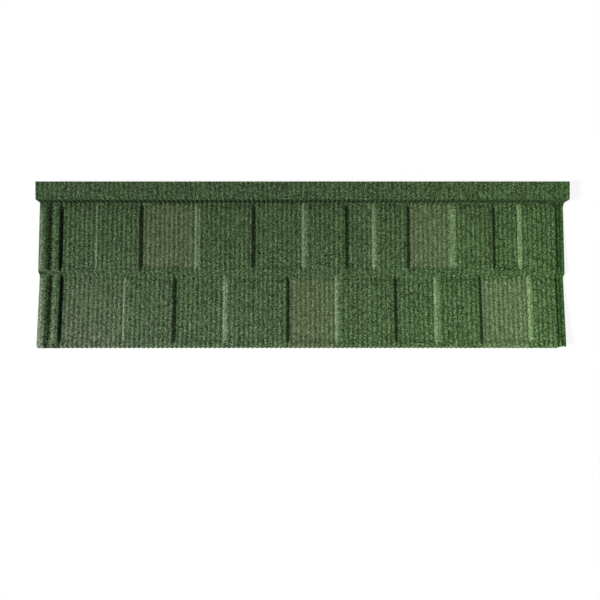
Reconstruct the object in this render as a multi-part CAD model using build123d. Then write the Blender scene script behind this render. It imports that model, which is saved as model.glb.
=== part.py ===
from build123d import *
from math import atan2, cos, radians, sin, tan
import os

# One pressed steel roofing sheet with two courses of slate tabs, coated with stone granules.
# It lies as it rests on a level floor: X runs along the eaves, -Y points down the roof slope to
# the nose, +Y points up the slope to the rear shelf that sits on a batten, and +Z points up.
# The origin is under the middle of the sheet, on the floor. All sizes are in millimetres.

# Overall sizes
sheet_width = 1340.0
sheet_depth = 420.0
wall = 2.0

# Rear shelf, and the upstand in front of it
shelf_depth = 46.0
shelf_height = 30.0
upstand_run = 3.5
shelf_bend = 5.0
foot_bend = 3.0

# The two courses: heights of the top face above the floor, without the raised tabs
foot_height = 2.0
upper_rise = 9.0
lower_start_height = 3.0
lower_rise = 17.0
lower_course_depth = 180.0
step_angle = 41.0
step_bend = 5.0
step_foot_bend = 10.0
nose_bend = 10.0

# Raised tabs between sunk ones, and the raised strip along the front of each course
tab_height = 6.0
tab_right_run = 4.0
knee_rise_share = 0.65
knee_run_share = 0.35
upper_strip = 3.0
nose_strip = 13.0
strip_ramp = 10.0
upper_rear_ramp = 16.0
lower_rear_ramp = 8.0

# Widths along each course, from the side lap: sunk, raised, sunk, raised and so on
upper_widths = [90.0, 110.5, 145.0, 141.0, 132.0, 105.5, 73.0, 84.0, 117.0, 101.0, 68.0]
lower_widths = [161.5, 125.0, 130.5, 158.0, 126.5, 147.0, 106.5, 109.5, 128.0]

# Run of the left face of each raised tab, in the same order
upper_left_runs = [5.0, 14.0, 13.0, 13.0, 14.0, 9.0]
lower_left_runs = [8.0, 10.0, 12.0, 12.0, 12.0]

# Left side lap, which covers the neighbouring sheet's right flap: edge strip, groove and ridge
lap_foot_level = 3.5
lap_edge_level = 5.5
lap_strip_run = 10.0
lap_strip_level = 8.5
lap_strip_width = 8.0
lap_groove_left_run = 11.0
lap_groove_level = 4.0
lap_groove_width = 4.5
lap_ridge_left_run = 10.0
lap_ridge_width = 9.5
lap_ridge_right_run = 3.5
lap_fade_width = 40.0

# Right flap, which slopes down under the neighbouring sheet's left lap, with its edges cut back
flap_width = 22.0
flap_run = 3.5
flap_fall = 3.4
flap_trim = 3.5
flap_notch = 4.0

# Places worked out from the sizes above
rear_y = sheet_depth / 2
front_y = -sheet_depth / 2
left_x = -sheet_width / 2
right_x = sheet_width / 2
flap_x = right_x - flap_width
last_tab_x = flap_x - flap_run
shelf_front_y = rear_y - shelf_depth
foot_y = shelf_front_y - upstand_run
step_foot_y = front_y + lower_course_depth
run_per_rise = 1 / tan(radians(step_angle))
upper_end_height = foot_height + upper_rise
step_y = step_foot_y + run_per_rise * (upper_end_height + tab_height - lower_start_height)
upper_slope = upper_rise / (foot_y - step_y)
lower_slope = lower_rise / lower_course_depth


def lap_line(foot_level):
    # Levels across the left lap above the sunk tabs, as pairs of place and level
    steps = [
        (lap_strip_run, lap_strip_level),
        (lap_strip_width, lap_strip_level),
        (lap_groove_left_run, lap_groove_level),
        (lap_groove_width, lap_groove_level),
        (lap_ridge_left_run, lap_strip_level),
        (lap_ridge_width, lap_strip_level),
        (lap_ridge_right_run, foot_level),
    ]
    line = [(left_x, lap_edge_level)]
    for width, level in steps:
        line.append((line[-1][0] + width, level))
    return line


def flap_line():
    # The right flap falls from below the last tab to the level of the sunk tabs
    return [(flap_x, flap_fall), (right_x, 0.0)]


def left_face(edge, run, level):
    # A raised tab's left face, steep at its foot and gentler above a knee
    start = edge - run / 2
    knee_level = level + knee_rise_share * (tab_height - level)
    return [(start, level), (start + knee_run_share * run, knee_level), (start + run, tab_height)]


def course_line(widths, left_runs):
    # Levels along one course, whose tabs start at the left lap and stop at the right flap
    line = lap_line(lap_foot_level)
    edge = line[-1][0]
    level = lap_foot_level
    runs = list(left_runs)
    for width in widths:
        edge += width
        if edge + max(left_runs) > last_tab_x:
            break
        if level < tab_height:
            line += left_face(edge, runs.pop(0), level)
            level = tab_height
        else:
            line += [(edge - tab_right_run / 2, level), (edge + tab_right_run / 2, 0.0)]
            level = 0.0
    if level < tab_height:
        line.append((last_tab_x - tab_right_run, level))
    line.append((last_tab_x, tab_height))
    return line + flap_line()


def upper_line():
    return course_line(upper_widths, upper_left_runs)


def lower_line():
    return course_line(lower_widths, lower_left_runs)


def strip_line():
    # Levels along the raised strip at the front of a course, beside the lap
    return lap_line(tab_height) + [(last_tab_x, tab_height)] + flap_line()


def base_line():
    # Levels where a course starts: the lap's edge is already up, and the rest lies level
    lap_end = lap_line(lap_foot_level)[-1]
    return [(left_x, lap_edge_level), lap_end, (lap_end[0] + lap_fade_width, 0.0), (right_x, 0.0)]


def level_at(line, x):
    # Level of a line at one place
    for (x0, z0), (x1, z1) in zip(line, line[1:]):
        if x0 <= x <= x1 and x1 > x0:
            return z0 + (z1 - z0) * (x - x0) / (x1 - x0)
    return line[-1][1]


def upper_z(y):
    # Height of the upper course without its tabs
    return foot_height + upper_slope * (foot_y - y)


def lower_z(y):
    # Height of the lower course without its tabs
    return lower_start_height + lower_slope * (step_foot_y - y)


def top_corners(upper, lower, strip, base):
    # Corners of the top face from the rear edge to the foot of the nose, each with its bend radius.
    # The four levels are those of the upper and lower tabs, the front strips and the course starts.
    crest_y = step_y + run_per_rise * (strip - tab_height)
    low_y = step_foot_y + run_per_rise * base
    upper_rear = foot_y - upper_rear_ramp
    upper_strip_y = crest_y + upper_strip
    lower_rear = low_y - lower_rear_ramp
    nose_strip_y = front_y + nose_strip
    return [
        (rear_y, shelf_height, 0),
        (shelf_front_y, shelf_height, shelf_bend),
        (foot_y, foot_height + base, foot_bend),
        (upper_rear, upper_z(upper_rear) + upper, 0),
        (upper_strip_y + strip_ramp, upper_z(upper_strip_y + strip_ramp) + upper, 0),
        (upper_strip_y, upper_z(upper_strip_y) + strip, 0),
        (crest_y, upper_z(step_y) + strip, step_bend),
        (low_y, lower_start_height + base, step_foot_bend),
        (lower_rear, lower_z(lower_rear) + lower, 0),
        (nose_strip_y + strip_ramp, lower_z(nose_strip_y + strip_ramp) + lower, 0),
        (nose_strip_y, lower_z(nose_strip_y) + strip, 0),
        (front_y, lower_z(front_y) + strip, nose_bend),
        (front_y, 0.0, 0),
    ]


def turn_at(before, here, after):
    # Signed angle in which a line turns at a corner
    arriving = atan2(here[1] - before[1], here[0] - before[0])
    leaving = atan2(after[1] - here[1], after[0] - here[0])
    return (leaving - arriving + radians(540)) % radians(360) - radians(180)


def bottom_corners(top):
    # The same corners moved inwards by the wall, with concentric bends and a level lower edge
    first = (2 * top[0][0] - top[1][0], 2 * top[0][1] - top[1][1])
    final = (2 * top[-1][0] - top[-2][0], 2 * top[-1][1] - top[-2][1])
    chain = [first] + [(y, z) for y, z, _ in top] + [final]
    line = []
    for i, (y, z, bend) in enumerate(top):
        turn = turn_at(chain[i], chain[i + 1], chain[i + 2])
        heading = atan2(z - chain[i][1], y - chain[i][0]) + turn / 2
        reach = wall / cos(turn / 2)
        inner_bend = bend - wall if turn > 0 else bend + wall
        line.append((y - reach * sin(heading), z + reach * cos(heading), inner_bend if bend else 0))
    return line


def bent_edges(line, x):
    # Straight edges and tangent arcs along a line of corners, in the upright plane at x
    edges = []
    corners = [Vector(x, y, z) for y, z, _ in line]
    start = corners[0]
    for i in range(1, len(line) - 1):
        bend = line[i][2]
        if bend == 0:
            edges.append(Line(start, corners[i]))
            start = corners[i]
            continue
        back = (corners[i - 1] - corners[i]).normalized()
        ahead = (corners[i + 1] - corners[i]).normalized()
        half = abs(turn_at(line[i - 1], line[i], line[i + 1])) / 2
        reach = bend * tan(half)
        middle = corners[i] + (back + ahead).normalized() * (bend / cos(half) - bend)
        edges.append(Line(start, corners[i] + back * reach))
        start = corners[i] + ahead * reach
        edges.append(ThreePointArc(corners[i] + back * reach, middle, start))
    edges.append(Line(start, corners[-1]))
    return edges


def section(x):
    # Closed outline of the sheet at one place along its width
    upper = level_at(upper_line(), x)
    lower = level_at(lower_line(), x)
    strip = level_at(strip_line(), x)
    top = top_corners(upper, lower, strip, level_at(base_line(), x))
    bottom = bottom_corners(top)
    outline = bent_edges(top, x)
    outline.append(Line(Vector(x, *top[-1][:2]), Vector(x, *bottom[-1][:2])))
    outline += bent_edges(bottom[::-1], x)
    outline.append(Line(Vector(x, *bottom[0][:2]), Vector(x, *top[0][:2])))
    return Wire(outline)


def section_places():
    # Every place along the width where the levels change slope
    places = set()
    for line in (upper_line(), lower_line(), strip_line(), base_line()):
        places.update(round(x, 4) for x, _ in line)
    return sorted(places)


def roofing_sheet():
    # The sheet is ruled from section to section, and then its right flap is cut back at two edges
    sheet = Solid.make_loft([section(x) for x in section_places()], ruled=True)
    corner = (Align.MIN, Align.MIN, Align.MIN)
    notch = Pos(flap_x, front_y, 0) * Box(flap_width, flap_notch, shelf_height, align=corner)
    trim = Pos(right_x - flap_trim, front_y, 0) * Box(
        flap_trim, foot_y - front_y, shelf_height, align=corner
    )
    return sheet - notch - trim


os.makedirs("parts", exist_ok=True)
export_step(roofing_sheet(), "parts/roofing_sheet.step")
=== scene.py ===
# %% [markdown]
# A stone-coated roofing sheet
# This lesson dresses one pressed steel roofing sheet, bent from a single blank: two courses of
# slate-like tabs, fine ribs that run up the roof, a side lap, a nose and a rear shelf. Its top face
# is covered in coloured stone granules, and its underside is primed steel. The solid model gives
# the exact form, so every point of the fine mesh is found on that solid.

# %% Load the solid model and keep its size
import math

import bpy
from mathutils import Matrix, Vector
from mathutils.bvhtree import BVHTree


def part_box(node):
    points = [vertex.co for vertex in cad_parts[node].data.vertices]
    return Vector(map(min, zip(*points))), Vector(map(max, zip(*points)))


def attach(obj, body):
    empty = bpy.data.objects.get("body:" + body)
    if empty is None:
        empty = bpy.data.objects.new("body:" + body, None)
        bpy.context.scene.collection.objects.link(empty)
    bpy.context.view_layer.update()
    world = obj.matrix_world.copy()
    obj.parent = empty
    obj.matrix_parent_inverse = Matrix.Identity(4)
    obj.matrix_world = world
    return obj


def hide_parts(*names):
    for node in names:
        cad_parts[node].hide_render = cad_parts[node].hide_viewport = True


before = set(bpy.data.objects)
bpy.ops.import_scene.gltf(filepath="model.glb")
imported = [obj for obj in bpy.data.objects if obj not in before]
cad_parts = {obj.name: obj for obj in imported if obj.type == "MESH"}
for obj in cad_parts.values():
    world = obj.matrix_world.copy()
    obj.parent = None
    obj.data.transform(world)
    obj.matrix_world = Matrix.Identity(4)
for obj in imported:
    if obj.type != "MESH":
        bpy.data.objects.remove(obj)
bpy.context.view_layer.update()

MM = 0.001
sheet_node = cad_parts["roofing_sheet"]
low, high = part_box("roofing_sheet")
left, right = low.x, high.x
front, rear = low.y, high.y
print("sheet", [round(v / MM, 1) for v in (high - low)], "mm")

# %% [markdown]
# Camera
# The photograph looks straight down on the sheet from a little over a metre. The shelf, which is
# nearest to the lens, looks wider than the course below it, and that fixes the distance. A camera
# that hangs exactly above, with no tilt and no shift, keeps the long edges parallel.

# %% Camera straight above the sheet
FRAME_PIXELS = 600
SHELF_PIXELS = 534.8
REAR_EDGE_PIXEL = 181.3
SHELF_CENTRE_PIXEL = 302.6
CAMERA_HEIGHT = 1.28
shelf_distance = CAMERA_HEIGHT - high.z
metres_per_pixel = (right - left) / SHELF_PIXELS
view_width = metres_per_pixel * FRAME_PIXELS

camera_data = bpy.data.cameras.new("camera")
camera_data.lens = camera_data.sensor_width * shelf_distance / view_width
camera = bpy.data.objects.new("camera", camera_data)
camera.location = (
    (FRAME_PIXELS / 2 - SHELF_CENTRE_PIXEL) * metres_per_pixel,
    rear - (FRAME_PIXELS / 2 - REAR_EDGE_PIXEL) * metres_per_pixel,
    CAMERA_HEIGHT,
)
bpy.context.scene.collection.objects.link(camera)
bpy.context.scene.camera = camera
print("lens", round(camera_data.lens, 2), "mm")

# %% [markdown]
# The form of the sheet
# A pressed sheet is one skin that is bent up and down, so a woven grid suits it: columns run up the
# roof, less than two millimetres apart, and rows run along the eaves, close together where the
# sheet bends. A column or a row lies on every crease of the solid model, so the creases stay
# straight. Each grid point is found by a ray that is shot at the solid. For the top face the rays
# fall straight down on the courses and fan round each bend. For the underside they come from below
# along the same lines.

# %% A search tree of the solid, and one helper that shoots a ray at it
solid = BVHTree.FromPolygons(
    [v.co for v in sheet_node.data.vertices],
    [tuple(p.vertices) for p in sheet_node.data.polygons],
)
EDGE_INSET = 0.03 * MM
REACH = 0.2
SHELF_DEPTH = 46 * MM
FLAP_TRIM = 3.5 * MM
LAP_WIDTH = 56.5 * MM
LAP_FADE = 40 * MM
EDGE_RISE = 5.5 * MM
LAP_RISE = 3.5 * MM


def clamp(value, lowest, highest):
    return min(max(value, lowest), highest)


def foot_rise(x):
    # The lap leaves the upstand above the level of the tabs and fades into them
    across = clamp((x - left) / LAP_WIDTH, 0, 1)
    fade = clamp((x - left - LAP_WIDTH) / LAP_FADE, 0, 1)
    return (EDGE_RISE + (LAP_RISE - EDGE_RISE) * across) * (1 - fade)


def skin_point(x, row, outer):
    # A point of the top or under face, on the ray through the row's aim point
    aim, out, lift = row
    last = right - (FLAP_TRIM if aim.y < rear - SHELF_DEPTH else 0)
    x = min(x, last)
    inside = clamp(x, left + EDGE_INSET, last - EDGE_INSET)
    start = Vector((inside, aim.y, aim.z + lift * foot_rise(x)))
    if outer:
        hit = solid.ray_cast(start + out * REACH, -out, REACH)[0]
    else:
        hit = solid.ray_cast(start, out, REACH)[0]
    return hit and Vector((x, hit.y, hit.z))


print("search tree over", len(sheet_node.data.polygons), "faces of the solid")

# %% Centres of the three bends, and places of the creases down the courses
UPSTAND_RUN = 3.5 * MM
SHELF_BEND = 5 * MM
FOOT_BEND = 3 * MM
NOSE_BEND = 10 * MM
FOOT_HEIGHT = 2 * MM
UNDER_FLOOR = -0.05
shelf_front = rear - SHELF_DEPTH
foot = shelf_front - UPSTAND_RUN
up = Vector((0, 0, 1))
forward = Vector((0, -1, 0))
upstand_lean = math.atan2(UPSTAND_RUN, high.z - FOOT_HEIGHT)
bend_share = math.tan((math.pi / 2 - upstand_lean) / 2)
shelf_centre = Vector((0, shelf_front + SHELF_BEND * bend_share, high.z - SHELF_BEND))
foot_centre = Vector((0, foot - FOOT_BEND * bend_share, FOOT_HEIGHT + FOOT_BEND))
crest = skin_point(0, (Vector((0, front + NOSE_BEND, UNDER_FLOOR)), up, 0), True).z
nose_centre = Vector((0, front + NOSE_BEND, crest - NOSE_BEND))

upper_tabs_rear = foot - 16 * MM
upper_tabs_front = -0.9 * MM
seam_strip = -10.9 * MM
lower_tabs_rear = -38 * MM
lower_tabs_front = front + 23 * MM
nose_strip = front + 13 * MM
print("crest of the nose", round(crest / MM, 1), "mm above the floor")

# %% Rows of rays from the rear edge to the foot of the nose
# Steps between rows, in millimetres on flat stretches and in radians round the bends
SHELF_STEP = 6.5
SHELF_BEND_STEP = 0.25
UPSTAND_STEP = 4
FOOT_BEND_STEP = 0.35
NOSE_BEND_STEP = 0.2
NOSE_STEP = 5

# Runs of rows down the courses, as the crease where a run starts and its step in millimetres
ROW_RUNS = (
    (foot_centre.y, 2.8),
    (upper_tabs_rear, 9),
    (upper_tabs_front, 2.8),
    (seam_strip, 2.2),
    (lower_tabs_rear, 9),
    (lower_tabs_front, 3.4),
    (nose_strip, 3.2),
    (nose_centre.y, 0),
)


def spread(start, end, step):
    # Evenly spaced places from start up to, but not including, end
    count = max(1, round(abs(end - start) / step))
    return [start + (end - start) * i / count for i in range(count)]


def tilted(angle):
    # The direction that leans forward from straight up by an angle
    return up * math.cos(angle) + forward * math.sin(angle)


def falling_rows(start, end, step):
    return [(Vector((0, y, UNDER_FLOOR)), up, 0) for y in spread(start, end, step * MM)]


def ray_rows(coarse):
    # Each row is an aim point in the section, the outward direction of the skin there, and the
    # share of the foot's local rise that the aim point follows. The foot's bend is the sharpest,
    # so its rows are as fine underneath as on top.
    steep = math.pi / 2 - upstand_lean
    rows = falling_rows(rear - EDGE_INSET, shelf_centre.y, SHELF_STEP * coarse)
    for angle in spread(0, steep, SHELF_BEND_STEP * coarse):
        rows.append((shelf_centre, tilted(angle), 0))
    for z in spread(shelf_centre.z, foot_centre.z, UPSTAND_STEP * coarse * MM):
        lift = (shelf_centre.z - z) / (shelf_centre.z - foot_centre.z)
        rows.append((Vector((0, shelf_centre.y, z)), tilted(steep), lift))
    for angle in spread(steep, 0, FOOT_BEND_STEP):
        rows.append((foot_centre - tilted(angle) * REACH, tilted(angle), 1))
    for (start, step), (end, _) in zip(ROW_RUNS, ROW_RUNS[1:]):
        rows += falling_rows(start, end, step * coarse)
    for angle in spread(0, math.pi / 2, NOSE_BEND_STEP * coarse):
        rows.append((nose_centre, tilted(angle), 0))
    for z in spread(nose_centre.z, EDGE_INSET, NOSE_STEP * coarse * MM) + [EDGE_INSET]:
        rows.append((Vector((0, nose_centre.y, z)), forward, 0))
    return rows


top_rows = ray_rows(coarse=1.0)
under_rows = ray_rows(coarse=2.0)
print(len(top_rows), "rows on top and", len(under_rows), "underneath")

# %% Columns of points from the left edge to the right one
COLUMN_STEP = 1.8 * MM
CREASE_GAP = 1.2 * MM


def columns(step):
    # Places of the columns: the solid's own creases, and even steps between them
    creases = [left]
    for x in sorted(vertex.co.x for vertex in sheet_node.data.vertices):
        if x > creases[-1] + CREASE_GAP:
            creases.append(x)
    creases[-1] = right
    return [x for a, b in zip(creases, creases[1:]) for x in spread(a, b, step)] + [right]


def skin_grid(places, rows, outer):
    # One list of points for each column. A ray that finds no metal keeps the last point found.
    grid = []
    for x in places:
        column = []
        for row in rows:
            point = skin_point(x, row, outer)
            column.append(point if point else column[-1].copy())
        grid.append(column)
    return grid


top_grid = skin_grid(columns(COLUMN_STEP), top_rows, True)
under_grid = skin_grid(columns(2 * COLUMN_STEP), under_rows, False)
print(len(top_grid), "columns on top and", len(under_grid), "underneath")

# %% [markdown]
# Rounded shoulders
# A press can't leave a sharp top edge beside a steep face: the metal draws over the tool in a soft
# shoulder. The solid has a plain crease there. A bevel would spoil the even grid, so the points
# beside each steep right face of a tab are lowered instead, most at the edge and less and less over
# nine millimetres. The ribs fade out on the shoulder by the same share.

# %% Lower the points beside the steep right faces
FULL_RIGHT_FACE = 1.2
SHOULDER_WIDTH = 9 * MM
SHOULDER_DROP = 1.1 * MM
FLAP_WIDTH = 22 * MM
flap_edge = right - FLAP_WIDTH


def shoulder_share(grid, i, k):
    # How close a point is to the top edge of a tab's steep right face, from 0 to 1 on the edge. A
    # face counts as steep from half of the full slope.
    here = grid[i][k]
    if here.y > foot or not left + LAP_WIDTH < here.x < flap_edge - SHOULDER_WIDTH:
        return 0.0
    share = 0.0
    while i + 1 < len(grid) and grid[i][k].x - here.x < SHOULDER_WIDTH:
        a, b = grid[i][k], grid[i + 1][k]
        steep = clamp(2 * (a.z - b.z) / (b.x - a.x) / FULL_RIGHT_FACE - 1, 0, 1)
        share = max(share, steep * (1 - (a.x - here.x) / SHOULDER_WIDTH) ** 2)
        i += 1
    return share


def round_shoulders(grid):
    # Lowers the points beside the steep right faces, and returns how close each point was to one
    shares = [[shoulder_share(grid, i, k) for k in range(len(grid[i]))] for i in range(len(grid))]
    for column, line in zip(grid, shares):
        for point, share in zip(column, line):
            point.z -= SHOULDER_DROP * share
    return shares


shoulders = round_shoulders(top_grid)
print(sum(share > 0 for line in shoulders for share in line), "points lowered on the shoulders")

# %% [markdown]
# Where the coat changes, and where light and shade are painted
# Some tabs carry a tan blend of granules. The flap, which slopes away from the light, gets painted
# shade, and so does the line along the foot of the last tab. The sharpest creases get near-black
# painted shade, the lap's groove, ridge and seam crease get painted shade too, and faces that rise
# to the right and a few places of the lap get a painted highlight. All this could be painted by
# hand, but places measured on the sheet make it exact and easy to change: each is a share from 0
# to 1, worked out for every grid point and kept as an attribute that the material reads.

# %% Helpers for shares
RIB_PITCH = 12.0 * MM
RIB_START = 5.0 * MM


def bell(value, centre, width):
    return math.exp(-(((value - centre) / width) ** 2))


def share_at(profile, place):
    # Share at one place, on straight lines between the pairs of place and share
    for (start, before), (end, after) in zip(profile, profile[1:]):
        if place < end:
            return before + (after - before) * clamp((place - start) / (end - start), 0, 1)
    return profile[-1][1]


def valley(x):
    # 1 in the bottom of each rib's valley and 0 on its crest
    return 0.5 - 0.5 * math.cos(2 * math.pi * (x - RIB_START) / RIB_PITCH)


# %% Tan tabs
# Left, right, front and rear of each tan tab in millimetres, and its share of tan granules
TAN_TABS = [
    (-410, -277, -10, 158, 0.85),
    (271, 378, -10, 158, 1.0),
    (-608, -460, -215, -34, 0.35),
    (-35, 80, -215, -34, 1.0),
    (454, 571, -215, -34, 1.0),
]
TAN_EDGE = 4 * MM


def tan_share(point):
    # How much of the tan blend of granules lies at a place, with soft sides
    return max(
        share
        * clamp((point.x - x0 * MM) / TAN_EDGE, 0, 1)
        * clamp((x1 * MM - point.x) / TAN_EDGE, 0, 1)
        * clamp((y1 * MM - point.y) / TAN_EDGE, 0, 1)
        * clamp((point.y - y0 * MM) / TAN_EDGE, 0, 1)
        for x0, x1, y0, y1, share in TAN_TABS
    )


print(len(TAN_TABS), "tan tabs")

# %% Painted shade on the flap, and a painted shadow line beside it
FLAP_LINE = 2.5 * MM
FLAP_LINE_WIDTH = 3.2 * MM
FLAP_FOLD_LENGTH = 41 * MM
FLAP_FOLD_REACH = 20 * MM


def flap_fold(point):
    # How far the fold beside the flap has run towards the flap's front corner
    return FLAP_FOLD_REACH * clamp(1 - (point.y - front) / FLAP_FOLD_LENGTH, 0, 1)


def flap_shade_share(point):
    # Painted shade on the flap, which slopes down and away from the light, in front of the shelf
    past = point.x - flap_edge - flap_fold(point)
    return clamp(past / FLAP_LINE, 0, 1) if point.y < foot else 0.0


def flap_line_share(point):
    # Painted shadow along the foot of the last tab, where the next sheet's lap rests
    centre = flap_edge - FLAP_LINE / 2 + flap_fold(point)
    return bell(point.x, centre, FLAP_LINE_WIDTH) if point.y < foot else 0.0


print("flap", round(FLAP_WIDTH / MM, 1), "mm wide")

# %% Painted shade in the groove, on the ridge and at the seam of the lap
LAP_GROOVE = 28 * MM
LAP_GROOVE_WIDTH = 5.5 * MM
LAP_GROOVE_SHARE = 0.95
LAP_GROOVE_SHARES = [
    (front + 14 * MM, 0.0),
    (front + 24 * MM, 0.75),
    (front + 60 * MM, 1.0),
    (-23.5 * MM, 1.0),
    (-17.5 * MM, 0.0),
    (-15.5 * MM, 0.0),
    (-10.5 * MM, 1.0),
    (foot, 0.9),
]
LAP_RIDGE = 42 * MM
LAP_RIDGE_EDGE = 4 * MM
LAP_RIDGE_SHARE = 0.3
SEAM_CREASE = -18 * MM
SEAM_CREASE_WIDTH = 3 * MM
SEAM_CREASE_SHARE = 0.85
SEAM_PINCH = -17.5 * MM
PINCH_ARM = 12 * MM
PINCH_SLOPE = 0.75
PINCH_WIDTH = 2.2 * MM


def pinch_highlight_share(point):
    # The V-shaped pinch over the seam, where the lap's groove bends with the step: painted
    # highlight
    aside = abs(point.x - left - LAP_GROOVE)
    arm = clamp((PINCH_ARM - aside) / PINCH_WIDTH, 0, 1)
    return arm * bell(point.y, SEAM_PINCH + PINCH_SLOPE * aside, PINCH_WIDTH)


def lap_shade_share(point):
    # How much painted shade darkens the lap: in its groove, on its ridge and in the crease over
    # the seam, and less under the painted highlight of the pinch
    across = point.x - left
    if across > LAP_WIDTH or point.y > foot:
        return 0.0
    in_groove = bell(across, LAP_GROOVE, LAP_GROOVE_WIDTH)
    groove = LAP_GROOVE_SHARE * in_groove * share_at(LAP_GROOVE_SHARES, point.y)
    on_ridge = clamp((across - LAP_RIDGE) / LAP_RIDGE_EDGE, 0, 1)
    crease = SEAM_CREASE_SHARE * bell(point.y, SEAM_CREASE, SEAM_CREASE_WIDTH)
    crease *= (1 - in_groove) * (1 - on_ridge)
    return max(groove, LAP_RIDGE_SHARE * on_ridge, crease) * (1 - pinch_highlight_share(point))


print("groove of the lap", round(LAP_GROOVE / MM, 1), "mm from the left edge")

# %% [markdown]
# Painted shade in creases, and painted highlights
# Three kinds of crease are darkened with near-black painted shade. The foot of the upstand gets it
# as a dot in each rib's valley, stronger towards the left. A line beside the lap's ridge gets it
# all along, but for a gap over the seam. The two pleats in the lap's nose get it as well. The lap's
# edge strip near the nose, both ends of the line beside the ridge and the pinch over the seam get a
# painted highlight instead, as if they turned to the low light.

# %% Painted shade in creases
FOOT_LINE = foot + 1.2 * MM
FOOT_LINE_WIDTH = 2.1 * MM
FOOT_LINE_SHARES = [(left, 1.0), (-150 * MM, 1.0), (100 * MM, 0.7), (right, 0.5)]
LAP_LINE = 56.2 * MM
LAP_LINE_WIDTH = 2.0 * MM
LAP_LINE_SHARES = [
    (front + 14 * MM, 0.0),
    (front + 24 * MM, 0.9),
    (-27 * MM, 1.0),
    (-23 * MM, 0.2),
    (-15 * MM, 0.2),
    (-11 * MM, 1.0),
    (foot - 18 * MM, 0.65),
    (foot - 12 * MM, 0.0),
]
PLEATS = (22.5 * MM, 43.8 * MM)
PLEAT_WIDTH = 3 * MM
PLEAT_LENGTH = 18 * MM
PLEAT_FADE = 0.3
PLEAT_SHARE = 0.9


def crease_shade_share(point):
    # How much near-black painted shade goes into the creases
    foot_line = share_at(FOOT_LINE_SHARES, point.x) * bell(point.y, FOOT_LINE, FOOT_LINE_WIDTH)
    foot_line *= valley(point.x) ** 2
    if point.y > foot:
        return foot_line
    across = point.x - left
    lap_line = bell(across, LAP_LINE, LAP_LINE_WIDTH) * share_at(LAP_LINE_SHARES, point.y)
    pleat = max(bell(across, place, PLEAT_WIDTH) for place in PLEATS)
    pleat *= clamp((front + PLEAT_LENGTH - point.y) / (PLEAT_FADE * PLEAT_LENGTH), 0, 1)
    return max(foot_line, lap_line, PLEAT_SHARE * pleat)


print(len(PLEATS), "pleats in the lap's nose")

# %% Painted highlights
LAP_STRIP = 18 * MM
STRIP_GLOW = 75 * MM
LINE_END = 24 * MM
LINE_END_FADE = 10 * MM
LINE_END_WIDTH = 4.5 * MM
FULL_LEFT_FACE = 0.32


def painted_highlight_share(point):
    # Places of the lap that get a painted highlight, as if they caught the low light. The edge
    # strip has the full highlight over the front half of its glow, and it fades over the rear half.
    across = point.x - left
    if across < LAP_STRIP:
        return clamp(2 - 2 * (point.y - front) / STRIP_GLOW, 0, 1)
    if point.y > foot:
        return 0.0
    rear_end = clamp((point.y - foot + LINE_END) / LINE_END_FADE, 0, 1)
    front_end = clamp((front + LINE_END - point.y) / LINE_END_FADE, 0, 1)
    line = max(rear_end, front_end) * bell(across, LAP_LINE, LINE_END_WIDTH)
    return max(line, pinch_highlight_share(point))


def left_face(column, before, after):
    # Painted highlight at each point of a column, from how steeply it rises from left to right: 0
    # on a level face and 1 on a steep one. The lap's groove and ridge get none from their slope,
    # and the lap's places with a painted highlight get theirs.
    run = after[0].x - before[0].x
    shares = [clamp((b.z - a.z) / run / FULL_LEFT_FACE, 0, 1) for a, b in zip(before, after)]
    if LAP_STRIP < column[0].x - left < LAP_WIDTH:
        shares = [0.0] * len(column)
    return [max(share, painted_highlight_share(point)) for share, point in zip(shares, column)]


print("edge strip of the lap lit over", round(STRIP_GLOW / MM), "mm")

# %% [markdown]
# Depth of the ribs
# The press puts fine ribs across the whole sheet, twelve millimetres apart. They are shallowest on
# the shelf and its upstand, and deepest over the nose and along the upstand's foot, where the metal
# gathers. The side lap has its own groove and ridge and almost no ribs, and the thicker tan coat
# fills them a little. Each grid point carries its rib depth as an attribute, and a node tree
# presses the ribs in by that amount. The wall is two millimetres thick, so the underside gets much
# shallower ribs.

# %% Rib depth by place
COURSE_RIB = 1.45 * MM
SHELF_RIB = 1.0 * MM
NOSE_RIB = 1.6 * MM
NOSE_RIB_REACH = 12 * MM
FOOT_RIB = 1.6 * MM
FOOT_RIB_REACH = 4 * MM
TAN_RIB_SHARE = 0.88
LAP_RIB_SHARE = 0.15
UNDERSIDE_SHARE = 0.25


def rib_depth(point, outer):
    # From crest to valley, before the shoulders take their share
    base = COURSE_RIB if point.y < foot else SHELF_RIB
    base += (NOSE_RIB - COURSE_RIB) * bell(point.y, front, NOSE_RIB_REACH)
    base += (FOOT_RIB - COURSE_RIB) * bell(point.y, foot, FOOT_RIB_REACH)
    base *= 1 - (1 - TAN_RIB_SHARE) * tan_share(point)
    if point.y < foot and point.x < left + LAP_WIDTH:
        base *= LAP_RIB_SHARE
    return base if outer else base * UNDERSIDE_SHARE


print("ribs on the courses", round(COURSE_RIB / MM, 2), "mm deep")

# %% [markdown]
# One closed skin
# The sheet is one closed piece of metal. A Solidify modifier could give a single skin its wall, but
# the solid already holds the exact underside, so both faces are found on it. Squares join the
# points of each grid. The underside's grid is about half as fine, which saves triangles where few
# people look, so the four rims are closed by triangles that walk along both edges at one pace.

# %% Attributes of each point
# The last five carry painted highlights and painted shade on top; underneath, the last marks crests
ATTRIBUTES = (
    "rib_depth",
    "coated",
    "tan_blend",
    "left_face",
    "flap_shade",
    "flap_line",
    "shade_and_wear",
    "crease_shade_and_crests",
)


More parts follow.
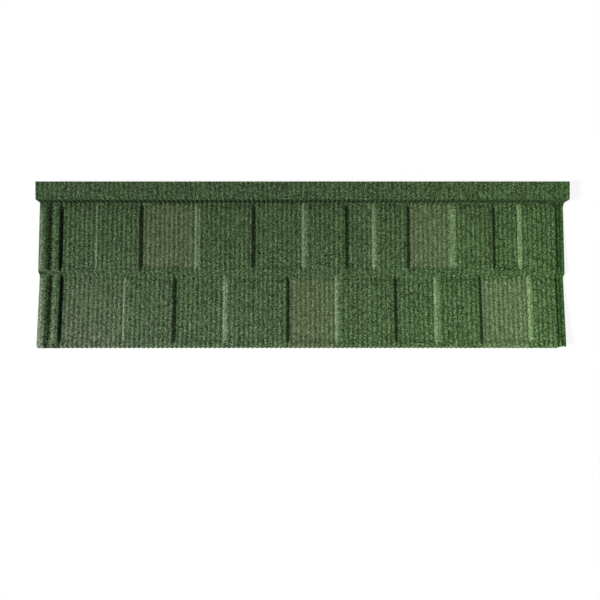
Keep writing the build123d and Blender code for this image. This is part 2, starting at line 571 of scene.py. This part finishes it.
def column_values(column, neighbours, shoulder_line, outer):
    # The values of one column. On top the last value is painted shade in creases; underneath it
    # marks the rib crests, which rub on their packing.
    return {
        "rib_depth": [
            rib_depth(point, outer) * (1 - share) for point, share in zip(column, shoulder_line)
        ],
        "coated": [1.0 if outer else 0.0] * len(column),
        "tan_blend": [tan_share(point) for point in column],
        "left_face": left_face(column, *neighbours),
        "flap_shade": [flap_shade_share(point) for point in column],
        "flap_line": [flap_line_share(point) for point in column],
        "shade_and_wear": [lap_shade_share(point) for point in column],
        "crease_shade_and_crests": [crease_shade_share(point) if outer else valley(point.x) for point in column],
    }


print(len(ATTRIBUTES), "attributes for the ribs and the coat")

# %% Weave both grids into one mesh and close its rims


def stitch(a, b):
    # Triangles between two rows of vertex numbers that may differ in length
    steps_a, steps_b = len(a) - 1, len(b) - 1
    faces = []
    i = j = 0
    while i < steps_a or j < steps_b:
        if j == steps_b or (i < steps_a and (i + 1) * steps_b <= (j + 1) * steps_a):
            faces.append((a[i], a[i + 1], b[j]))
            i += 1
        else:
            faces.append((a[i], b[j + 1], b[j]))
            j += 1
    return faces


def rims(top, under):
    # Faces that close the left, right, rear and front rims, from the vertex numbers of both grids
    faces = stitch(top[0], under[0])
    faces += [face[::-1] for face in stitch(top[-1], under[-1])]
    faces += [face[::-1] for face in stitch([c[0] for c in top], [c[0] for c in under])]
    faces += stitch([c[-1] for c in top], [c[-1] for c in under])
    return faces


def weave():
    # One closed mesh, with attributes for the outward direction, the ribs and the coat
    points, faces, directions, numbers = [], [], [], []
    values = {name: [] for name in ATTRIBUTES}
    for grid, rows, outer in ((top_grid, top_rows, True), (under_grid, under_rows, False)):
        lines = []
        for i, column in enumerate(grid):
            lines.append(list(range(len(points), len(points) + len(column))))
            points.extend(column)
            directions.extend(row[1] for row in rows)
            neighbours = grid[max(i - 1, 0)], grid[min(i + 1, len(grid) - 1)]
            shoulder_line = shoulders[i] if outer else [0.0] * len(column)
            for name, shares in column_values(column, neighbours, shoulder_line, outer).items():
                values[name].extend(shares)
        for a, b in zip(lines, lines[1:]):
            for k in range(len(a) - 1):
                quad = (a[k], a[k + 1], b[k + 1], b[k])
                faces.append(quad if outer else quad[::-1])
        numbers.append(lines)
    mesh = bpy.data.meshes.new("sheet_skin")
    mesh.from_pydata(points, [], faces + rims(*numbers))
    layer = mesh.attributes.new("out", "FLOAT_VECTOR", "POINT")
    layer.data.foreach_set("vector", [part for direction in directions for part in direction])
    for name, shares in values.items():
        layer = mesh.attributes.new(name, "FLOAT", "POINT")
        layer.data.foreach_set("value", shares)
    return mesh


skin_mesh = weave()
print("woven", len(skin_mesh.vertices), "points and", len(skin_mesh.polygons), "faces")

# %% [markdown]
# Materials
# The sheet has two finishes: a coat of stone granules on top and a primer paint underneath. Both
# are built from nodes, with colours picked as screen values and turned to linear light, and with
# every pattern sized in millimetres, so that they stay right at any distance from the lens.

# %% Helpers for colours and nodes
# A Mix node for colours has its share in input 0, its colours in 6 and 7 and its result in output 2
SHARE, COLOUR_A, COLOUR_B, MIXED = 0, 6, 7, 2


def colour(hex_code):
    # sRGB hex to the linear colour that a shader reads
    parts = [int(hex_code[i:i + 2], 16) / 255 for i in (0, 2, 4)]
    linear = [c / 12.92 if c <= 0.04045 else ((c + 0.055) / 1.055) ** 2.4 for c in parts]
    return (*linear, 1.0)


def add(tree, kind, inputs=None, stops=(), **settings):
    # Adds a node with its settings, links each input to a socket or sets its value, and fills a
    # colour ramp's stops from pairs of place and hex colour, in rising order
    node = tree.nodes.new(kind)
    for name, value in settings.items():
        setattr(node, name, value)
    for socket, value in (inputs or {}).items():
        if isinstance(value, bpy.types.NodeSocket):
            tree.links.new(value, node.inputs[socket])
        else:
            node.inputs[socket].default_value = value
    for i, (place, hex_code) in enumerate(stops):
        elements = node.color_ramp.elements
        element = elements[i] if i < len(elements) else elements.new(place)
        element.position = place
        element.color = colour(hex_code)
    return node


def shader_tree(name):
    material = bpy.data.materials.new(name)
    material.use_nodes = True
    tree = material.node_tree
    tree.nodes.clear()
    return material, tree


print("middle grey in linear light:", round(colour("808080")[0], 3))

# %% [markdown]
# Stone granules
# The granules are crushed rock with a glaze baked on, in several greens and a few tans. They are
# scattered on a wet black base coat and sealed, so the top is matt and speckled, and its colour
# comes grain by grain. Each cell of a Voronoi pattern stands for one grain: its random value picks
# the colour, and the distance to its middle gives the bump. Real chips would need millions of
# faces. Gentle tints paint the light that drifts over the sheet, as it does in the photograph, and
# the shares kept in the mesh mark painted shade and painted highlights.

# %% Colours of the stone coat
# Real granules are one to two millimetres across. They are drawn a little coarser, so that they
# still show where a pixel of the photograph covers two and a half millimetres.
GRAIN = 2.3 * MM
GRAIN_BUMP = -0.5 * MM
GREEN_GRAINS = [
    (0.0, "13190e"),
    (0.25, "2d3f25"),
    (0.5, "415a36"),
    (0.75, "4f6943"),
    (1.0, "758b66"),
]
TAN_GRAINS = [
    (0.0, "2f3925"),
    (0.25, "435033"),
    (0.5, "54633f"),
    (0.75, "5f704e"),
    (1.0, "82896d"),
]
# Under the painted highlight, grains come from a narrower, slightly lighter part of each blend
CALM_SPREAD = 0.7
CALM_LIFT = 0.25
# Painted light: darker at the rear, brighter at the front, brighter and greener to the right
REAR_PAINTED_LIGHT = (0.75, 0.75, 0.75, 1)
FRONT_PAINTED_LIGHT = (1.14, 1.14, 1.14, 1)
LEFT_PAINTED_LIGHT = (0.98, 0.98, 0.98, 1)
RIGHT_PAINTED_LIGHT = (1.10, 1.22, 0.98, 1)
TAN_RIGHT_PAINTED_LIGHT = (1.08, 1.16, 1.28, 1)
CORNER_TINT = (1.36, 1.14, 1.5, 1)
CORNER_START = 80 * MM
# Painted highlight on faces that rise to the right, towards the low sun, and on lit places of the
# lap
LEFT_FACE_HIGHLIGHT_TINT = (1.65, 1.39, 1.76, 1)
# Painted shade on the flap, which slopes away from the light
FLAP_SHADE_TINT = (0.62, 0.78, 0.58, 1)
# Painted shadow where the last tab drops to the flap
FLAP_SHADOW_TINT = (0.26, 0.42, 0.2, 1)
# Painted shade in the lap's groove, on its ridge and in the crease over the seam
LAP_SHADE_TINT = (0.22, 0.26, 0.2, 1)
WHITE = (1, 1, 1, 1)
COAT_GLOSS = 0.15
COAT_ROUGHNESS = 0.92
# Near-black painted shade in the sharpest creases
CREASE_SHADE_COLOUR = colour("0b0d0a")
print(len(GREEN_GRAINS), "greens and", len(TAN_GRAINS), "tans in the blend")

# %% Colour of each grain, and the painted light that drifts over the sheet


def grain_colours(tree, chance, left_faces):
    # The colour of each grain in the green and the tan blend. Under the painted highlight of the
    # left faces a narrower part of both is used.
    calm = add(
        tree,
        "ShaderNodeMath",
        {0: chance, 1: CALM_SPREAD, 2: CALM_LIFT},
        operation="MULTIPLY_ADD",
    )
    pick = add(
        tree,
        "ShaderNodeMapRange",
        {"Value": left_faces, "To Min": chance, "To Max": calm.outputs[0]},
    ).outputs[0]
    greens = add(tree, "ShaderNodeValToRGB", {"Fac": pick}, GREEN_GRAINS).outputs["Color"]
    tans = add(tree, "ShaderNodeValToRGB", {"Fac": pick}, TAN_GRAINS).outputs["Color"]
    return greens, tans


def coat_tints(tree, place):
    # Painted light that drifts over the sheet: darker at the rear and brighter to the front,
    # brighter and greener to the right, with the tans a little bluer there. The front left corner
    # is also paler.
    xyz = add(tree, "ShaderNodeSeparateXYZ", {"Vector": place}).outputs
    shares = {}
    for name, axis, start, end in (
        ("depth", "Y", rear, front),
        ("length", "X", 0.0, right),
        ("back", "X", 0.0, left),
        ("near", "Y", CORNER_START, front),
    ):
        shares[name] = add(
            tree, "ShaderNodeMapRange", {"Value": xyz[axis], "From Min": start, "From Max": end}
        ).outputs[0]
    corner = add(
        tree, "ShaderNodeMath", {0: shares["back"], 1: shares["near"]}, operation="MULTIPLY"
    )
    tints = []
    for share, first, last in (
        (shares["depth"], REAR_PAINTED_LIGHT, FRONT_PAINTED_LIGHT),
        (shares["length"], LEFT_PAINTED_LIGHT, RIGHT_PAINTED_LIGHT),
        (shares["length"], WHITE, TAN_RIGHT_PAINTED_LIGHT),
    ):
        tint = add(
            tree,
            "ShaderNodeMix",
            {SHARE: share, COLOUR_A: first, COLOUR_B: last},
            data_type="RGBA",
        )
        tints.append(tint.outputs[MIXED])
    return tints, corner.outputs[0]


print("tints from", REAR_PAINTED_LIGHT[0], "at the rear to", FRONT_PAINTED_LIGHT[0], "at the front")

# %% Stone coat


def stone_coat():
    # Crushed rock with a glaze baked on: matt, with almost no gloss of its own
    material, tree = shader_tree("stone_granule_coat")
    place = add(tree, "ShaderNodeTexCoord").outputs["Object"]
    shares = {}
    for name in ("tan_blend", "left_face", "flap_shade", "flap_line", "shade_and_wear", "crease_shade_and_crests"):
        shares[name] = add(tree, "ShaderNodeAttribute", attribute_name=name).outputs["Fac"]
    cells = add(tree, "ShaderNodeTexVoronoi", {"Vector": place, "Scale": 1 / GRAIN})
    chance = add(tree, "ShaderNodeSeparateColor", {"Color": cells.outputs["Color"]})
    greens, tans = grain_colours(tree, chance.outputs["Red"], shares["left_face"])
    (by_depth, by_length, tan_tint), corner = coat_tints(tree, place)
    tinted = add(
        tree,
        "ShaderNodeMix",
        {SHARE: 1.0, COLOUR_A: tans, COLOUR_B: tan_tint},
        data_type="RGBA",
        blend_type="MULTIPLY",
    )
    coat = greens
    # The tan blend is real colour; the layers after it paint light, shade and highlights over the
    # sheet
    for way, share, layer in (
        ("MIX", shares["tan_blend"], tinted.outputs[MIXED]),
        ("MULTIPLY", 1.0, by_depth),
        ("MULTIPLY", 1.0, by_length),
        ("MULTIPLY", corner, CORNER_TINT),
        ("MULTIPLY", shares["left_face"], LEFT_FACE_HIGHLIGHT_TINT),
        ("MULTIPLY", shares["flap_shade"], FLAP_SHADE_TINT),
        ("MULTIPLY", shares["flap_line"], FLAP_SHADOW_TINT),
        ("MULTIPLY", shares["shade_and_wear"], LAP_SHADE_TINT),
        ("MIX", shares["crease_shade_and_crests"], CREASE_SHADE_COLOUR),
    ):
        mix = add(
            tree,
            "ShaderNodeMix",
            {SHARE: share, COLOUR_A: coat, COLOUR_B: layer},
            data_type="RGBA",
            blend_type=way,
        )
        coat = mix.outputs[MIXED]
    bump = add(
        tree, "ShaderNodeBump", {"Height": cells.outputs["Distance"], "Distance": GRAIN_BUMP}
    )
    dull = add(
        tree, "ShaderNodeMath", {0: shares["shade_and_wear"], 1: shares["crease_shade_and_crests"]}, operation="MAXIMUM"
    )
    gloss = add(
        tree,
        "ShaderNodeMapRange",
        {"Value": dull.outputs[0], "To Min": COAT_GLOSS, "To Max": 0.0},
    )
    shader = add(
        tree,
        "ShaderNodeBsdfPrincipled",
        {
            "Base Color": coat,
            "Roughness": COAT_ROUGHNESS,
            "Specular IOR Level": gloss.outputs[0],
            "Normal": bump.outputs["Normal"],
        },
    )
    add(tree, "ShaderNodeOutputMaterial", {"Surface": shader.outputs["BSDF"]})
    return material


stone_material = stone_coat()
print("stone coat:", len(stone_material.node_tree.nodes), "nodes, grains of", GRAIN / MM, "mm")

# %% [markdown]
# Primer on the underside
# The underside has no granules, only a thin epoxy primer that was rolled on over the zinc. It looks
# satin and a little cloudy, and faint lines run along the sheet in the way of the roller. The ribs
# rub on their packing, so spots of bright zinc show on the crests. The clouds and the lines are two
# noises, and the spots are a third one, kept to the crests by an attribute.

# %% Colours and lines of the primer
MOTTLE = 45 * MM
ROLLER_LINE = 3.5 * MM
ROLLER_RUN = 260 * MM
ROLLER_BUMP = 0.05 * MM
RUB_SPOT = 14 * MM
RUB_START = 0.56
RUB_FULL = 0.68
CREST_NARROWING = 6.0
PAINTS = [(0.3, "545d57"), (0.7, "667069")]
NOISE_LOW = 0.3
NOISE_HIGH = 0.7
LINE_DARK = 0.88
LINE_LIGHT = 1.08
PAINT_SMOOTH = 0.38
PAINT_ROUGH = 0.55
ZINC_GREY = colour("8d9391")


def rolled_paint(tree, place, cloud):
    # The colour of the paint, clouded and with faint lines along the sheet from the roller
    paint = add(tree, "ShaderNodeValToRGB", {"Fac": cloud}, PAINTS).outputs["Color"]
    stretch = add(
        tree,
        "ShaderNodeMapping",
        {"Vector": place, "Scale": (1 / ROLLER_RUN, 1 / ROLLER_LINE, 1 / ROLLER_LINE)},
    )
    lines = add(
        tree,
        "ShaderNodeTexNoise",
        {"Vector": stretch.outputs[0], "Scale": 1.0, "Detail": 2.0},
    ).outputs[0]
    shade = add(
        tree,
        "ShaderNodeMapRange",
        {
            "Value": lines,
            "From Min": NOISE_LOW,
            "From Max": NOISE_HIGH,
            "To Min": LINE_DARK,
            "To Max": LINE_LIGHT,
        },
    )
    lined = add(
        tree,
        "ShaderNodeMix",
        {SHARE: 1.0, COLOUR_A: paint, COLOUR_B: shade.outputs[0]},
        data_type="RGBA",
        blend_type="MULTIPLY",
    )
    return lined.outputs[MIXED], lines


def rubbed_crests(tree, place):
    # Where the crests of the ribs have rubbed through to the zinc, in spots along each crest
    crest = add(tree, "ShaderNodeAttribute", attribute_name="crease_shade_and_crests").outputs["Fac"]
    narrow = add(tree, "ShaderNodeMath", {0: crest, 1: CREST_NARROWING}, operation="POWER")
    spots = add(
        tree, "ShaderNodeTexNoise", {"Vector": place, "Scale": 1 / RUB_SPOT, "Detail": 6.0}
    )
    rubbed = add(
        tree,
        "ShaderNodeMapRange",
        {"Value": spots.outputs[0], "From Min": RUB_START, "From Max": RUB_FULL},
    )
    shade_and_wear = add(
        tree, "ShaderNodeMath", {0: narrow.outputs[0], 1: rubbed.outputs[0]}, operation="MULTIPLY"
    )
    return shade_and_wear.outputs[0]


print(len(PAINTS), "tones of primer, lined every", ROLLER_LINE / MM, "mm")

# %% Primer paint


def primer():
    # Epoxy primer rolled on over zinc: satin, a little cloudy, with bright zinc where the ribs
    # have rubbed on their packing
    material, tree = shader_tree("epoxy_primer_on_zinc")
    place = add(tree, "ShaderNodeTexCoord").outputs["Object"]
    cloud = add(
        tree, "ShaderNodeTexNoise", {"Vector": place, "Scale": 1 / MOTTLE, "Detail": 5.0}
    ).outputs[0]
    paint, lines = rolled_paint(tree, place, cloud)
    seen = add(
        tree,
        "ShaderNodeMix",
        {SHARE: rubbed_crests(tree, place), COLOUR_A: paint, COLOUR_B: ZINC_GREY},
        data_type="RGBA",
    )
    roughness = add(
        tree,
        "ShaderNodeMapRange",
        {
            "Value": cloud,
            "From Min": NOISE_LOW,
            "From Max": NOISE_HIGH,
            "To Min": PAINT_SMOOTH,
            "To Max": PAINT_ROUGH,
        },
    )
    bump = add(tree, "ShaderNodeBump", {"Height": lines, "Distance": ROLLER_BUMP})
    shader = add(
        tree,
        "ShaderNodeBsdfPrincipled",
        {
            "Base Color": seen.outputs[MIXED],
            "Roughness": roughness.outputs[0],
            "Normal": bump.outputs["Normal"],
        },
    )
    add(tree, "ShaderNodeOutputMaterial", {"Surface": shader.outputs["BSDF"]})
    return material


primer_material = primer()
print("primer:", len(primer_material.node_tree.nodes), "nodes")

# %% [markdown]
# Pressing the ribs
# The ribs repeat every twelve millimetres and follow the bent sheet. A bump alone would leave the
# edge of the nose straight, so a node tree moves the points themselves, inwards along each point's
# outward direction: by a cosine wave across the sheet for the ribs, and by a noise for the uneven
# bed of granules. Moving points only inwards keeps the dressed sheet within the solid's size. The
# wave runs the same way on both faces: the top sinks where the underside stays, and the underside
# lifts where the top stays, so the two never meet.

# %% Shift of each point for the ribs and the granule bed
NODE_INPUTS = (
    ("Rib pitch", "NodeSocketFloat", RIB_PITCH),
    ("Rib start", "NodeSocketFloat", RIB_START),
    ("Clump size", "NodeSocketFloat", 6 * MM),
    ("Bed depth", "NodeSocketFloat", 0.35 * MM),
    ("Seed", "NodeSocketInt", 7),
)


def rib_shift(tree, place, coated, source):
    # The wave across the sheet, from 0 down on top and from 0 up underneath, times the rib's depth
    depth = add(
        tree, "GeometryNodeInputNamedAttribute", {"Name": "rib_depth"}, data_type="FLOAT"
    ).outputs["Attribute"]
    across = add(tree, "ShaderNodeSeparateXYZ", {"Vector": place}).outputs["X"]
    run = add(tree, "ShaderNodeMath", {0: across, 1: source["Rib start"]}, operation="SUBTRACT")
    pitches = add(
        tree, "ShaderNodeMath", {0: run.outputs[0], 1: source["Rib pitch"]}, operation="DIVIDE"
    )
    turns = add(
        tree, "ShaderNodeMath", {0: pitches.outputs[0], 1: 2 * math.pi}, operation="MULTIPLY"
    )
    wave = add(tree, "ShaderNodeMath", {0: turns.outputs[0]}, operation="COSINE")
    side = add(tree, "ShaderNodeMath", {0: coated, 1: 2.0, 2: -1.0}, operation="MULTIPLY_ADD")
    swing = add(
        tree, "ShaderNodeMath", {0: wave.outputs[0], 1: side.outputs[0]}, operation="SUBTRACT"
    )
    half = add(tree, "ShaderNodeMath", {0: depth, 1: 0.5}, operation="MULTIPLY")
    ribs = add(
        tree, "ShaderNodeMath", {0: swing.outputs[0], 1: half.outputs[0]}, operation="MULTIPLY"
    )
    return ribs.outputs[0]


def bed_depth(tree, place, coated, source):
    # How deep the bed of granules lies under the highest grains, on the coated side alone
    fineness = add(tree, "ShaderNodeMath", {0: 1.0, 1: source["Clump size"]}, operation="DIVIDE")
    noise = add(
        tree,
        "ShaderNodeTexNoise",
        {"Vector": place, "W": source["Seed"], "Scale": fineness.outputs[0], "Detail": 2.0},
        noise_dimensions="4D",
    )
    pits = add(
        tree, "ShaderNodeMath", {0: noise.outputs[0], 1: source["Bed depth"]}, operation="MULTIPLY"
    )
    bed = add(tree, "ShaderNodeMath", {0: pits.outputs[0], 1: coated}, operation="MULTIPLY")
    return bed.outputs[0]


print(len(NODE_INPUTS), "named inputs for the node tree")

# %% The node tree that presses the skin
MERGE_GAP = 0.01 * MM


def rib_tree():
    # The whole tree: the shift of every point, then one merged mesh with its two materials
    tree = bpy.data.node_groups.new("press_ribs", "GeometryNodeTree")
    tree.interface.new_socket("Geometry", in_out="INPUT", socket_type="NodeSocketGeometry")
    for name, kind, value in NODE_INPUTS:
        tree.interface.new_socket(name, in_out="INPUT", socket_type=kind).default_value = value
    tree.interface.new_socket("Geometry", in_out="OUTPUT", socket_type="NodeSocketGeometry")
    source = add(tree, "NodeGroupInput").outputs
    place = add(tree, "GeometryNodeInputPosition").outputs["Position"]
    coated = add(
        tree, "GeometryNodeInputNamedAttribute", {"Name": "coated"}, data_type="FLOAT"
    ).outputs["Attribute"]
    out = add(
        tree, "GeometryNodeInputNamedAttribute", {"Name": "out"}, data_type="FLOAT_VECTOR"
    ).outputs["Attribute"]
    ribs = rib_shift(tree, place, coated, source)
    bed = bed_depth(tree, place, coated, source)
    amount = add(tree, "ShaderNodeMath", {0: ribs, 1: bed}, operation="SUBTRACT").outputs[0]
    shift = add(tree, "ShaderNodeVectorMath", {0: out, "Scale": amount}, operation="SCALE")
    moved = add(
        tree,
        "GeometryNodeSetPosition",
        {"Geometry": source["Geometry"], "Offset": shift.outputs[0]},
    )
    merged = add(
        tree,
        "GeometryNodeMergeByDistance",
        {"Geometry": moved.outputs[0], "Distance": MERGE_GAP},
    )
    whole = add(tree, "GeometryNodeRealizeInstances", {"Geometry": merged.outputs[0]}).outputs[0]
    stone = add(tree, "GeometryNodeSetMaterial", {"Geometry": whole, "Material": stone_material})
    below = add(tree, "ShaderNodeMath", {0: coated, 1: 0.5}, operation="LESS_THAN").outputs[0]
    paint = add(
        tree,
        "GeometryNodeSetMaterial",
        {"Geometry": stone.outputs[0], "Selection": below, "Material": primer_material},
    )
    add(tree, "NodeGroupOutput", {"Geometry": paint.outputs[0]})
    return tree


press_ribs = rib_tree()
print("node tree of", len(press_ribs.nodes), "nodes for ribs", RIB_PITCH / MM, "mm apart")

# %% Press the skin and attach it to the root body
SHARP_EDGE = math.radians(60)


def made_by_nodes(mesh, tree, name):
    # Runs a node tree on a mesh and returns a plain object at the origin with the result
    seed = bpy.data.objects.new(name + "_seed", mesh)
    bpy.context.scene.collection.objects.link(seed)
    modifier = seed.modifiers.new("nodes", "NODES")
    modifier.node_group = tree
    for item in tree.interface.items_tree:
        if item.in_out == "INPUT" and item.socket_type != "NodeSocketGeometry":
            modifier[item.identifier] = item.default_value
    ready = seed.evaluated_get(bpy.context.evaluated_depsgraph_get())
    result = bpy.data.meshes.new_from_object(ready)
    bpy.data.objects.remove(seed)
    piece = bpy.data.objects.new(name, result)
    bpy.context.scene.collection.objects.link(piece)
    return piece


coated_sheet = made_by_nodes(skin_mesh, press_ribs, "coated_sheet")
coated_sheet.data.shade_smooth()
coated_sheet.data.set_sharp_from_angle(angle=SHARP_EDGE)
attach(coated_sheet, "root")
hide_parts("roofing_sheet")
print("coated sheet:", sum(len(p.vertices) - 2 for p in coated_sheet.data.polygons), "triangles")

# %% [markdown]
# Floor and light
# The floor is plain white card, lit so that it looks white to the camera and still takes a faint
# shadow, as in the photograph. One low sun from the left and a little from the front rakes across
# the ribs and lights the step between the courses as much as the flat faces. A weak even sky keeps
# the shadows open.

# %% White floor
SHADOW_SHARE = 0.10
FLOOR_REACH = 6.0
CARD = colour("f2f2f2")


def shows_background(tree):
    # 1 for the rays that show a background: those of the camera, of gloss and of glass
    rays = add(tree, "ShaderNodeLightPath").outputs
    seen = rays["Is Camera Ray"]
    for name in ("Is Glossy Ray", "Is Transmission Ray"):
        seen = add(tree, "ShaderNodeMath", {0: seen, 1: rays[name]}, operation="MAXIMUM").outputs[0]
    return seen


def floor_material():
    # White card, which gives most of its white as a glow and lets the shadow darken the rest
    material, tree = shader_tree("white_card_floor")
    card = add(
        tree, "ShaderNodeBsdfDiffuse", {"Color": (SHADOW_SHARE, SHADOW_SHARE, SHADOW_SHARE, 1)}
    )
    glow = add(tree, "ShaderNodeEmission", {"Strength": 1 - SHADOW_SHARE})
    seen = add(tree, "ShaderNodeAddShader", {0: card.outputs[0], 1: glow.outputs[0]})
    bounce = add(tree, "ShaderNodeBsdfDiffuse", {"Color": CARD})
    mix = add(
        tree,
        "ShaderNodeMixShader",
        {0: shows_background(tree), 1: bounce.outputs[0], 2: seen.outputs[0]},
    )
    add(tree, "ShaderNodeOutputMaterial", {"Surface": mix.outputs[0]})
    return material


corners = [(-1, -1), (1, -1), (1, 1), (-1, 1)]
floor_mesh = bpy.data.meshes.new("floor")
floor_mesh.from_pydata(
    [(FLOOR_REACH * x, FLOOR_REACH * y, 0) for x, y in corners], [], [(0, 1, 2, 3)]
)
floor_mesh.materials.append(floor_material())
floor = bpy.data.objects.new("floor", floor_mesh)
bpy.context.scene.collection.objects.link(floor)
print("floor", 2 * FLOOR_REACH, "m square")

# %% Sun and sky
SUN_HEIGHT = math.radians(33)
SUN_TURN = math.radians(12)
SUN_SPREAD = math.radians(8)
SUN_SHARE = 0.78
sun_data = bpy.data.lights.new("sun", "SUN")
sun_data.angle = SUN_SPREAD
sun_data.energy = SUN_SHARE * math.pi / math.sin(SUN_HEIGHT)
sun = bpy.data.objects.new("sun", sun_data)
sun.rotation_euler = (0, SUN_HEIGHT - math.pi / 2, SUN_TURN)
bpy.context.scene.collection.objects.link(sun)

world = bpy.data.worlds.new("sky")
world.use_nodes = True
sky_tree = world.node_tree
sky_tree.nodes.clear()
light = add(sky_tree, "ShaderNodeBackground", {"Color": WHITE, "Strength": 1 - SUN_SHARE})
backdrop = add(sky_tree, "ShaderNodeBackground", {"Color": WHITE, "Strength": 1.0})
sky = add(
    sky_tree,
    "ShaderNodeMixShader",
    {0: shows_background(sky_tree), 1: light.outputs[0], 2: backdrop.outputs[0]},
)
add(sky_tree, "ShaderNodeOutputWorld", {"Surface": sky.outputs[0]})
bpy.context.scene.world = world
bpy.context.scene.view_settings.view_transform = "Standard"
print("sun", round(sun_data.energy, 2), "and sky", round(1 - SUN_SHARE, 2))
